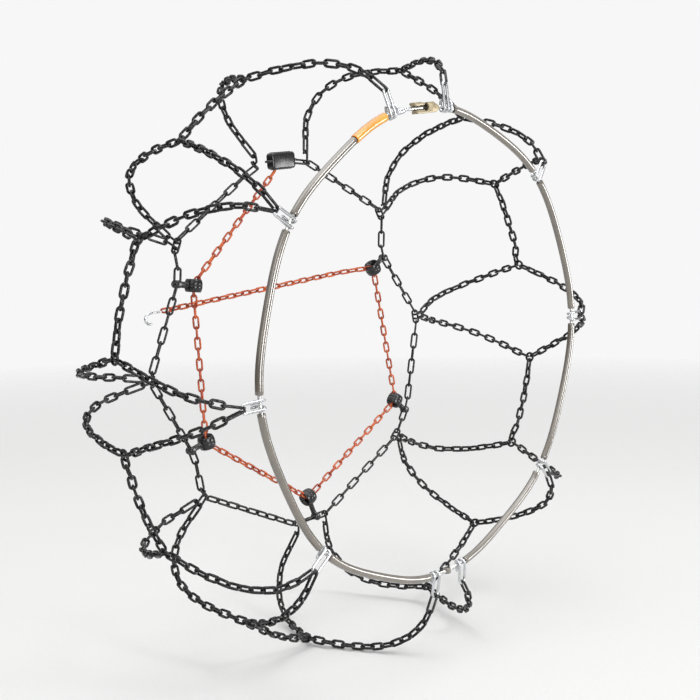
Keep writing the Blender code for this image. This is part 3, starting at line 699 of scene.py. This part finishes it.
def make_hook(number, mat):
    """Bent wire: a bend that holds the net, two legs over the cable, and two free ends behind it."""
    centre, along, outward = hook_frame(number)
    reach = hook_reach(number)
    long = number in (1, HOOKS)
    leg = NARROW_LEG if long else HOOK_LEG
    inside = leg - 2.6 * MM
    end = [(FREE_END, 3.3 * MM, inside), (FREE_END * 0.55, 3.9 * MM, inside + 0.1 * MM)]
    eye = []
    for turn in even(0, 180, 8):
        a = math.radians(turn)
        shift = inside + (leg - inside) * turn / 180
        eye.append((-HOOK_EYE_R * math.sin(a), HOOK_EYE_R * math.cos(a), shift))
    limb = []
    for part in (0.35, 0.7):
        limb.append(((reach - leg) * part, -HOOK_EYE_R + (HOOK_EYE_R - 0.6 * MM) * part, leg))
    for turn in even(0, 90, 4)[:-1]:
        a = math.radians(turn)
        limb.append((reach - leg + leg * math.sin(a), -0.6 * MM, leg * math.cos(a)))
    first, second = end + eye + limb, end + eye + limb
    if long:
        bow = [(-1.5, -4.6, 3.6), (2.6, -5.2, 4.1), (6.4, -3.6, 4.2)]
        bow += [(7.6, 0, 4.0), (6.4, 3.3, 3.2), (3.0, 4.6, 1.7)]
        bow = [(out * MM, y * MM, leg + past * MM) for out, y, past in bow]
        second = bow + eye[1:] + limb
        beyond = joint_at("cable_end_release") if number == 1 else middle_of("end_stud")
        along = along * math.copysign(1, (beyond - centre).dot(along))
    local = [(o, y, -s) for o, y, s in first] + [(reach, -0.6 * MM, 0)] + second[::-1]
    control = [centre + outward * o + TO_SIDE * y + along * s for o, y, s in local]
    path = smooth(control, 4)
    radii = np.full(len(path), HOOK_WIRE_R)
    radii[0] = radii[-1] = HOOK_WIRE_R * 0.72
    path[0] += (path[0] - path[1]).normalized() * 0.4 * MM
    piece = Piece()
    piece.tube(path, radii, 12)
    piece.done(f"hook_wire_{number}", mat, f"hook_{number}", [f"inner_hook_{number}"])


def cable_end_axis():
    """The released cable's pivot, its direction into the coupling and its length."""
    pivot = joint_at("cable_end_release")
    verts = [v.co - pivot for v in NODES["cable_end"].data.vertices]
    reach = max(co.length for co in verts)
    tip = [co for co in verts if co.length > reach - 0.3 * MM]
    along = sum(tip, Vector()).normalized()
    return pivot, along, max(co.dot(along) for co in verts)


def make_coupling(mat):
    """A cast block with a lobe over the cable, a slot that ends in a keyhole, and a tapered far end."""
    pivot, along, _ = cable_end_axis()
    middle = pivot + along * PIVOT_FROM_MIDDLE
    along = -along
    front = -TO_SIDE
    outward = along.cross(front)
    matrix = Matrix.Translation(middle) @ Matrix((along, outward, front)).transposed().to_4x4()
    slot, hole = 2.15, 4.2
    meets = math.degrees(math.asin(slot / hole))
    lobe = [(9.0, 5.4), (10.6, 6.4)] + arc((19.6, 4.9), 1.6, 80, -10, 5) + arc((19.4, 4.0), 1.3, -20, -90, 4)
    lobe += [(18.2, slot)]
    foot = [(17.6, -slot)] + arc((17.0, -4.6), 1.5, 20, -90, 5)
    taper = [(-12.0, -6.1), (-16.6, -4.0)] + arc((-16.6, -1.2), 2.2, -110, -235, 6) + [(-9.5, 5.6)]
    keyhole = arc((3.0, 0.3), hole, meets, 360 - meets, 20)
    notched = lobe + keyhole + foot + taper
    whole = lobe + foot + taper
    front_layer = (notched, COUPLING_BACK, 2 * COUPLING_HALF_THICK)
    back_layer = (whole, 0, COUPLING_BACK + 0.2 * MM)
    layers = []
    for outline, low, high in (front_layer, back_layer):
        outline = [(x * MM, y * MM) for x, y in outline[::-1]]
        layers.append((outline, low - COUPLING_HALF_THICK, high - COUPLING_HALF_THICK))
    make_plate("coupling_cast", layers, matrix, COUPLING_BEVEL, mat, "hoop", ["coupling"])
    piece = Piece()
    for x in (-6.5, -11.5):
        base = middle + along * x * MM + front * (COUPLING_HALF_THICK - 0.2 * MM)
        profile = [(0, 2.1), (0.35, 2.1), (0.6, 1.8), (0.6, 1.2), (0.3, 0.9), (0.3, 0.05)]
        piece.turned(base, front, [(at * MM, radius * MM) for at, radius in profile], sides=24)
    piece.done("coupling_rivets", mat, "hoop")


def grooved(places, radius, half_width, depth):
    """Profile points for rings pressed into a round part."""
    points = []
    for at in places:
        points += [(at - half_width, radius), (at, radius - depth), (at + half_width, radius)]
    return points


def make_ferrule(mat):
    pivot, _, _ = cable_end_axis()
    ferrule = middle_of("cable_ferrule")
    towards = (pivot - ferrule).normalized()
    reach = [(v.co - ferrule).dot(towards) for v in NODES["cable_ferrule"].data.vertices]
    length = max(reach) - min(reach)
    bore = CABLE_R + 0.1 * MM
    rim = FERRULE_R
    profile = [(0.6 * length, 0.1 * MM), (0.6 * length, bore), (0, bore)]
    profile += [(0, rim - 0.3 * MM), (0.3 * MM, rim)]
    profile += grooved([0.3 * length, 0.55 * length], rim, 0.9 * MM, 0.35 * MM)
    profile += [(length - 1.2 * MM, rim), (length - 0.4 * MM, rim - 0.5 * MM), (length, rim - 1.3 * MM)]
    piece = Piece()
    piece.turned(ferrule + towards * min(reach), towards, profile + [(length, 0.1 * MM)])
    piece.done("ferrule", mat, "hoop", ["cable_ferrule"])


def make_stud(mat):
    """The round stud by the last hook, crowned over its width."""
    _, along, _ = hook_frame(HOOKS)
    bore = CABLE_R + 0.3 * MM
    crown = []
    for turn in even(-90, 90, 10):
        t = math.radians(turn)
        crown.append((STUD_HALF * math.sin(t), STUD_R - STUD_CROWN * (1 - math.cos(t))))
    profile = [(-STUD_HALF, bore)] + crown + [(STUD_HALF, bore)]
    piece = Piece()
    piece.turned(middle_of("end_stud"), along, profile, closed=True)
    piece.done("stud", mat, "hoop", ["end_stud"])


def make_cable_end(zinc, dark):
    """The released cable: a ball in the ferrule's mouth, a swaged shank and the nipple."""
    pivot, along, reach = cable_end_axis()
    straight = reach - NIPPLE_LENGTH
    shank = CABLE_R + 0.05 * MM
    profile = []
    for turn in even(0, 115, 10):
        t = math.radians(turn)
        profile.append((-SWIVEL_R * math.cos(t), SWIVEL_R * math.sin(t) + 0.02 * MM))
    profile += [(2.2 * MM, 1.5 * MM), (3.0 * MM, shank - 0.2 * MM), (3.6 * MM, shank)]
    profile += grooved([part * straight for part in (0.35, 0.5, 0.65)], shank, 0.7 * MM, 0.22 * MM)
    piece = Piece()
    piece.turned(pivot, along, profile + [(straight, shank), (straight, 0.05 * MM)], sides=24)
    piece.done("released_cable", zinc, "cable_end", ["cable_end"])
    rim = NIPPLE_R
    profile = [(straight, 0.1 * MM), (straight, rim - 0.5 * MM), (straight + 0.5 * MM, rim)]
    profile += [(reach - 0.5 * MM, rim), (reach, rim - 0.5 * MM), (reach, 0.1 * MM)]
    piece = Piece()
    piece.turned(pivot, along, profile)
    piece.done("nipple", dark, "cable_end")


# Net


def strand(number, letter):
    """The hook that holds a cross chain and the places where its CAD links meet."""
    node = f"cross_chain_{number}{letter}"
    hook = min(range(1, HOOKS + 1), key=lambda h: nearest(node, hook_frame(h)[0]))
    return hook, chain_joints(node, hook_frame(hook)[0])


def make_section(number, mat):
    """Two cross chains and a tread chain, joined by a ring at each junction."""
    strands = [strand(number, letter) for letter in "ab"]
    tread_node = f"tread_chain_{number}"
    verts = [v.co for v in NODES[tread_node].data.vertices]
    tread = chain_joints(tread_node, min(verts, key=lambda co: gap(co, strands[0][1])))
    body = f"tread_section_{number}"
    rings = []
    for letter, (hook, joints), end in zip("ab", strands, (tread[0], tread[-1])):
        junction = min(range(len(joints)), key=lambda i: (joints[i] - end).length)
        rings.append(joints[junction])
        inner, outer = joints[: junction + 1], joints[junction:]
        inner[0] = strand_start(hook, joints[0])
        piece = Piece()
        first = link_ends(inner, NET_PITCH, first=END_LINK, stop=RING_TO_LINK)
        add_chain(piece, first, off_tyre, NET_WIDTH, NET_WIRE, 90, 90, shift=LOOSE_SHIFT)
        second = link_ends(outer, NET_PITCH, last=END_LINK, start=RING_TO_LINK)
        add_chain(piece, second, off_tyre, NET_WIDTH, NET_WIRE, 90, 0, shift=LOOSE_SHIFT)
        add_ring(piece, joints[junction], off_tyre(joints[junction]), RING_R, NET_WIRE)
        node = f"cross_chain_{number}{letter}"
        piece.done(f"cross_links_{number}{letter}", mat, body, [node])
    piece = Piece()
    path = [rings[0]] + tread + [rings[1]]
    joints = link_ends(path, NET_PITCH, start=RING_TO_LINK, stop=RING_TO_LINK)
    add_chain(piece, joints, off_tyre, NET_WIDTH, NET_WIRE, 90, 90, shift=LOOSE_SHIFT)
    piece.done(f"tread_links_{number}", mat, body, [tread_node])


def nearest(node, point):
    return min((v.co - point).length for v in NODES[node].data.vertices)


def gap(point, others):
    return min((point - other).length for other in others)


def strand_start(hook, cad_start):
    """Inside a hook's bend, on the side that its strand starts from."""
    centre, along, outward = hook_frame(hook)
    single = hook in (1, 5, 6, HOOKS)
    side = 0 if single else math.copysign(1.6 * MM, (cad_start - centre).dot(along))
    leg = NARROW_LEG if hook in (1, HOOKS) else HOOK_LEG
    bend = leg - math.sqrt(leg ** 2 - side ** 2)
    return centre + outward * (hook_reach(hook) - bend - HOOK_WIRE_R) + along * side


# Outer side


def lock_frame():
    """The lock's middle, its direction along the side chain and the direction away from the axle."""
    middle = middle_of("lock_body")
    outward = Vector((middle.x, 0, middle.z)).normalized()
    lever = joint_at("lock_lever_lift") - middle
    left = TO_SIDE.cross(outward)
    return middle, left * math.copysign(1, lever.dot(left)), outward


def make_outer_chains(black, red):
    """The side chain, the tension chain and its tail. Gives the side chain's joints."""
    lock, left, _ = lock_frame()
    piece = Piece()
    joints = chain_joints("side_chain", lock + left * 30 * MM)
    add_chain(piece, joints, to_side, SIDE_WIDTH, SIDE_WIRE, TILT_DEG, loose=5)
    piece.done("side_links", black, "outer_side", ["side_chain"])
    tension = chain_joints("tension_chain", lock)
    piece = Piece()
    add_chain(piece, tension, to_side, TENSION_WIDTH, TENSION_WIRE, TILT_DEG, loose=5)
    piece.done("tension_links", red, "outer_side", ["tension_chain"])
    tail = chain_joints("tension_tail", joint_at("tension_tail_drop"))
    guide, _, _ = guide_frame(GUIDES, joints)
    for index, joint in enumerate(tail[:TAIL_RISE]):
        joint.y = guide.y + (joint.y - guide.y) * (index + 0.6) / TAIL_RISE
    tail = link_ends([guide] + tail[1:], TENSION_PITCH)
    piece = Piece()
    add_chain(piece, tail, to_side, TENSION_WIDTH, TENSION_WIRE, TILT_DEG, loose=5)
    piece.done("tail_links", red, "tension_tail", ["tension_tail"])
    return joints


def guide_frame(number, side_joints):
    """The middle of a guide's bead, the side chain's corner that it holds and the bead's axis."""
    verts = [v.co for v in NODES[f"guide_{number}"].data.vertices]
    top = max(co.y for co in verts)
    crest = [co for co in verts if co.y > top - 0.05 * MM]
    centre = sum(crest, Vector()) / len(crest)
    centre.y = (top + min(co.y for co in verts)) / 2
    corner = min(side_joints, key=lambda joint: (joint - centre).length)
    shank = Vector((corner.x - centre.x, 0, corner.z - centre.z)).normalized()
    return centre, corner, shank.cross(TO_SIDE)


def make_guide(number, side_joints, mat):
    """A flared bead for the tension chain, and a shank to a knuckle on the side chain."""
    centre, corner, axis = guide_frame(number, side_joints)
    piece = Piece()
    outer = []
    rim = BEAD_MOUTH + 0.7 * MM
    for part in even(-1, 1, 12):
        bulge = math.sqrt(1 - (0.80 * part) ** 2)
        outer.append((part * BEAD_HALF, rim + (BEAD_R - rim) * (bulge - 0.6) / 0.4))
    outer[5:8] = [(-0.5 * MM, BEAD_R), (0, BEAD_R - 0.35 * MM), (0.5 * MM, BEAD_R)]
    lip = [(BEAD_HALF + 0.35 * MM, BEAD_MOUTH + 0.35 * MM)]
    bore = [(part * BEAD_HALF, BEAD_BORE + (BEAD_MOUTH - BEAD_BORE) * part ** 2) for part in even(1, -1, 12)]
    back = [(-BEAD_HALF - 0.35 * MM, BEAD_MOUTH + 0.35 * MM)]
    piece.turned(centre, axis, outer + lip + bore + back, sides=40, closed=True)
    end = Vector((corner.x, centre.y, corner.z))
    shank = (end - centre).normalized()
    length = (end - centre).length
    stem = even(BEAD_R - 1.5 * MM, length - KNUCKLE_R * 0.6, 10)
    waist = [SHANK_R + 0.9 * MM * abs(2 * i / 10 - 1) ** 3 for i in range(11)]
    piece.tube([centre + shank * at for at in stem], waist, 20, upright=TO_SIDE)
    for side in (-1, 1):
        rib = [centre + shank * at + axis * side * (SHANK_R - 0.2 * MM) for at in stem[1:-1]]
        piece.tube(rib, 0.8 * MM, 8, upright=TO_SIDE)
    half = [(0.26, 0.86), (0.32, 1), (0.8, 1), (0.93, 0.9), (1, 0.72), (1, 0.05)]
    profile = [(-at, radius) for at, radius in half[::-1]] + half
    profile = [(at * KNUCKLE_HALF, radius * KNUCKLE_R) for at, radius in profile]
    piece.turned((end + corner) / 2, TO_SIDE, profile, sides=28)
    piece.done(f"guide_bead_{number}", mat, "outer_side", [f"guide_{number}"])


def make_lock(black, zinc):
    """A moulded housing with a recess, ribs and chain lugs, and a pressed lever on a pin."""
    middle, left, outward = lock_frame()
    face = TO_SIDE
    axes = (left, outward, face)
    piece = Piece()
    sections = [(16.5, 7.6, 2.6, -6.0), (18.2, 9.2, 3.4, -5.6), (19.0, 10.0, 4.0, -4.4)]
    sections += [(19.0, 10.0, 4.0, 3.6), (18.6, 9.6, 3.8, 5.0), (17.6, 8.6, 3.2, 5.8)]
    sections += [(16.4, 7.4, 2.4, 6.0), (14.9, 5.7, 1.8, 6.0)]
    sections += [(14.3, 5.1, 1.4, 5.8), (14.0, 4.8, 1.2, 5.2), (14.0, 4.8, 1.2, -0.3)]
    add_moulding(piece, middle, axes, sections)
    for x in even(-12, 12, 4):
        for side in (-1, 1):
            at = middle + left * x * MM + outward * side * 9.9 * MM
            rib = [(0.5, 0.3, 0.2, -4.2), (0.9, 0.7, 0.3, -3.8), (0.9, 0.7, 0.3, 3.0), (0.5, 0.3, 0.2, 3.6)]
            add_moulding(piece, at, axes, rib)
    for side in (-1, 1):
        lug = middle + left * side * 18.6 * MM
        add_ring(piece, lug, outward, 4.4 * MM, 3.0 * MM)
        boss = middle + outward * side * 9.4 * MM + pin_offset(middle, left)
        profile = [(0, 3.4), (0.9, 3.4), (1.3, 3.0), (1.3, 1.9), (0.6, 1.7), (0.6, 0.05)]
        piece.turned(boss, outward * side, [(at * MM, radius * MM) for at, radius in profile], sides=24)
    piece.done("lock_housing", black, "outer_side", ["lock_body"])

    pivot = joint_at("lock_lever_lift")
    reach = [(v.co - pivot).dot(left) for v in NODES["lock_lever"].data.vertices]
    centre = pivot + left * (min(reach) + max(reach)) / 2
    half = (max(reach) - min(reach)) / 2 / MM
    piece = Piece()
    rise = [(0.9, 3.4, 1.6, -2.2), (0.2, 4.1, 2.0, -1.7), (0, 4.3, 2.2, -1.0), (0, 4.3, 2.2, 1.2)]
    rise += [(0.3, 4.0, 2.0, 1.9), (1.0, 3.3, 1.6, 2.2), (2.4, 2.6, 1.3, 2.2)]
    rise += [(2.8, 2.2, 1.0, 1.7), (3.2, 1.9, 0.8, 1.2)]
    add_moulding(piece, centre, axes, [(half - inset, *rest) for inset, *rest in rise])
    pin = [pivot + outward * at * MM for at in even(-7.5, 7.5, 8)]
    piece.tube(pin, 1.5 * MM, 20)
    for at in (0.45, 0.6, 0.75):
        grip = centre - left * half * at * MM + face * 1.4 * MM
        piece.tube([grip - outward * 1.8 * MM, grip, grip + outward * 1.8 * MM], 0.45 * MM, 10)
    piece.done("lock_lever_pressed", zinc, "lock_lever", ["lock_lever"])


def pin_offset(middle, left):
    """From the lock's middle to its lever's pin, in the plane of the lock."""
    offset = joint_at("lock_lever_lift") - middle
    return left * offset.dot(left) + TO_SIDE * offset.y


def make_end_hook(mat):
    near = joint_at("end_hook_turn") + Vector((1, 0, 0))
    centres = cross_sections("end_hook", near, corners=6)
    path = smooth(centres, 5)
    radii = np.full(len(path), END_HOOK_WIRE_R)
    radii[0] = radii[-1] = END_HOOK_WIRE_R * 0.7
    piece = Piece()
    piece.tube(path, radii, 14)
    piece.done("end_hook_wire", mat, "end_hook", ["end_hook"])


def make_connectors(side_joints, mat):
    """An open hook from each strand's last link to the side chain."""
    piece = Piece()
    for number in range(1, SECTIONS + 1):
        for letter in "ab":
            hook, joints = strand(number, letter)
            end = joints[-1]
            _, along, _ = hook_frame(hook)
            corner = min(side_joints, key=lambda joint: (joint - end).length)
            side = math.copysign(4.5 * MM, (end - corner).dot(along))
            hold = corner + along * side
            add_open_hook(piece, hold, end, along)
    piece.done("net_connectors", mat, "outer_side")


def add_open_hook(piece, hold, end, tangent):
    """An eye closed round the side chain and a hook open towards the net."""
    reach = (end - hold).normalized()
    face = reach.cross(tangent).normalized()
    radius = (CONNECTOR_WIDTH - CONNECTOR_WIRE) / 2
    length = (end - hold).length + CONNECTOR_WIRE
    far = length / 2 - radius
    local = arc((far, 0), radius, -110, 90, 10) + arc((-far, 0), radius, 90, 270, 10)
    middle = (hold + end) / 2
    points = [middle + reach * x + face * y for x, y in local]
    radii = np.full(len(points), CONNECTOR_WIRE / 2)
    radii[0] = radii[-1] = CONNECTOR_WIRE * 0.36
    piece.tube(points, radii, 10, upright=tangent)


# Stage


def make_stage():
    bpy.ops.mesh.primitive_circle_add(vertices=96, radius=30, fill_type="NGON", location=(0, 0, cad_box[0].z))
    floor = bpy.context.active_object
    floor.name = "floor"
    n = Nodes("floor_paper")
    where = n.add("ShaderNodeTexCoord").outputs["Object"]
    far = n.add("ShaderNodeVectorMath", {0: where}, operation="LENGTH").outputs["Value"]
    paper = n.noise(where, 260, 4)
    n.link(n.mix(n.ramp(paper, 0.3, 0.7), (0.90, 0.90, 0.895), (0.93, 0.93, 0.925)), "Base Color")
    n.set(Roughness=0.85)
    n.bump(paper, 0.05 * MM)
    n.link(n.ramp(far, 1.2, 3.4, 1.0, 0.0), "Alpha")
    floor.data.materials.append(n.mat)
    return floor


def make_world():
    """The camera sees an even backdrop, metal mirrors bright paper overhead, and the rest is lit softly."""
    world = bpy.data.worlds.new("studio")
    bpy.context.scene.world = world
    world.use_nodes = True
    tree = world.node_tree
    up = tree.nodes.new("ShaderNodeSeparateXYZ")
    tree.links.new(tree.nodes.new("ShaderNodeTexCoord").outputs["Generated"], up.inputs[0])
    rays = tree.nodes.new("ShaderNodeLightPath")

    def sky(low, high):
        ramp = tree.nodes.new("ShaderNodeMapRange")
        ramp.interpolation_type = "SMOOTHSTEP"
        for key, value in (("From Min", -0.1), ("From Max", 0.9), ("To Min", low), ("To Max", high)):
            ramp.inputs[key].default_value = value
        tree.links.new(up.outputs["Z"], ramp.inputs["Value"])
        return ramp.outputs["Result"]

    def choose(switch, no, yes):
        mix = tree.nodes.new("ShaderNodeMix")
        tree.links.new(rays.outputs[switch], mix.inputs["Factor"])
        tree.links.new(no, mix.inputs["A"])
        if isinstance(yes, float):
            mix.inputs["B"].default_value = yes
        else:
            tree.links.new(yes, mix.inputs["B"])
        return mix.outputs["Result"]

    light = choose("Is Glossy Ray", sky(SKY_LOW, SKY_HIGH), sky(MIRROR_LOW, MIRROR_HIGH))
    strength = choose("Is Camera Ray", light, BACKDROP)
    tree.links.new(strength, tree.nodes["Background"].inputs["Strength"])
    tree.nodes["Background"].inputs["Color"].default_value = (1, 1, 1, 1)
    bpy.context.scene.view_settings.view_transform = "Standard"


def area_light(name, at, target, size, power):
    data = bpy.data.lights.new(name, "AREA")
    data.shape = "RECTANGLE"
    data.size, data.size_y = size
    data.energy = power
    light = bpy.data.objects.new(name, data)
    light.location = at
    light.rotation_euler = (Vector(target) - Vector(at)).to_track_quat("-Z", "Y").to_euler()
    bpy.context.scene.collection.objects.link(light)
    return light


def flag_off(light, floor):
    """Keep a light off the floor, as a flag on a stand would."""
    lit = bpy.data.collections.new(f"{light.name}_flag")
    lit.objects.link(floor)
    lit.collection_objects[0].light_linking.link_state = "EXCLUDE"
    light.light_linking.receiver_collection = lit


def make_camera():
    azimuth = math.radians(CAMERA_AZIMUTH_DEG)
    elevation = math.radians(CAMERA_ELEVATION_DEG)
    roll = math.radians(CAMERA_ROLL_DEG)
    back = Vector((
        math.sin(azimuth) * math.cos(elevation),
        -math.cos(azimuth) * math.cos(elevation),
        math.sin(elevation),
    ))
    right = Vector((math.cos(azimuth), math.sin(azimuth), 0))
    up = back.cross(right)
    rolled_right = right * math.cos(roll) + up * math.sin(roll)
    rolled_up = up * math.cos(roll) - right * math.sin(roll)
    target = rolled_right * CAMERA_RIGHT + rolled_up * CAMERA_UP
    data = bpy.data.cameras.new("camera")
    data.sensor_width = 36
    data.lens = CAMERA_LENS
    camera = bpy.data.objects.new("camera", data)
    axes = Matrix((rolled_right, rolled_up, back)).transposed().to_4x4()
    camera.matrix_world = Matrix.Translation(target + back * CAMERA_DISTANCE) @ axes
    bpy.context.scene.collection.objects.link(camera)
    bpy.context.scene.camera = camera


black = chain_material(
    "black_chain_look",
    light=(0.015, 0.015, 0.017),
    dark=(0.005, 0.005, 0.006),
    metallic=0.3,
    roughness=(0.12, 0.28),
    worn=(0.42, 0.41, 0.40),
    wear_amount=0.3,
    coat=0.1,
)
red = chain_material(
    "red_chain_look",
    light=(0.56, 0.110, 0.024),
    dark=(0.30, 0.032, 0.012),
    metallic=0.15,
    roughness=(0.25, 0.42),
    worn=(0.50, 0.40, 0.32),
    wear_amount=0.35,
    coat=0.15,
)
zinc = plated_material(
    "zinc_look",
    light=(0.72, 0.73, 0.75),
    dark=(0.56, 0.57, 0.58),
    tint=(0.66, 0.68, 0.74),
    roughness=(0.18, 0.30),
)
yellow_zinc = plated_material(
    "yellow_zinc_look",
    light=(0.45, 0.38, 0.25),
    dark=(0.36, 0.29, 0.18),
    tint=(0.41, 0.36, 0.26),
    roughness=(0.36, 0.50),
    metallic=0.55,
)
grey_plastic = plastic_material(
    "grey_sleeve_look",
    light=(0.150, 0.128, 0.100),
    dark=(0.108, 0.091, 0.070),
    roughness=(0.20, 0.30),
    grain_scale=900,
    depth=0.01 * MM,
    coat=1.0,
    metallic=0.1,
    scuff=(0.26, 0.24, 0.20),
)
orange_plastic = plastic_material(
    "orange_sleeve_look",
    light=(0.86, 0.36, 0.030),
    dark=(0.76, 0.27, 0.02),
    roughness=(0.22, 0.34),
    grain_scale=900,
    depth=0.01 * MM,
    coat=0.6,
    metallic=0.0,
    scuff=(0.96, 0.60, 0.20),
)
black_plastic = plastic_material(
    "black_plastic_look",
    light=(0.008, 0.008, 0.009),
    dark=(0.004, 0.004, 0.005),
    roughness=(0.18, 0.34),
    grain_scale=2600,
    depth=0.02 * MM,
    coat=0.08,
    metallic=0.0,
    scuff=(0.06, 0.06, 0.06),
)
steel = cable_material()
dark_steel = plated_material(
    "dark_steel_look",
    light=(0.06, 0.055, 0.045),
    dark=(0.03, 0.028, 0.022),
    tint=(0.05, 0.05, 0.05),
    roughness=(0.35, 0.55),
)

cable_path = hoop_path()
make_cable(cable_path, steel)
for number in range(1, HOOKS):
    make_sleeve(f"sleeve_grey_{number}", cable_path, SLEEVE_R, grey_plastic)
make_sleeve("sleeve_orange", cable_path, ORANGE_R, orange_plastic)
for number in range(1, HOOKS + 1):
    make_hook(number, zinc)
make_coupling(yellow_zinc)
make_ferrule(zinc)
make_stud(zinc)
make_cable_end(zinc, dark_steel)
for number in range(1, SECTIONS + 1):
    make_section(number, black)
side_joints = make_outer_chains(black, red)
make_connectors(side_joints, black)
for number in range(1, GUIDES + 1):
    make_guide(number, side_joints, black_plastic)
make_lock(black_plastic, zinc)
make_end_hook(zinc)

floor = make_stage()
make_world()
area_light("key", (0.35, -1.85, 1.95), (0, 0, 0), (0.7, 0.7), 13)
area_light("top", (-0.1, 0.1, 2.6), (0, 0, 0), (2.4, 2.4), 28)
area_light("left", (-2.0, -0.9, 1.0), (0, 0, 0), (1.0, 1.6), 7)
flag_off(area_light("front_strip", (-0.56, -2.23, 0.25), (0, 0, 0), (0.85, 1.1), 26), floor)
flag_off(area_light("right_strip", (1.67, -1.51, -0.03), (0, 0, 0), (0.9, 0.5), 17), floor)
make_camera()
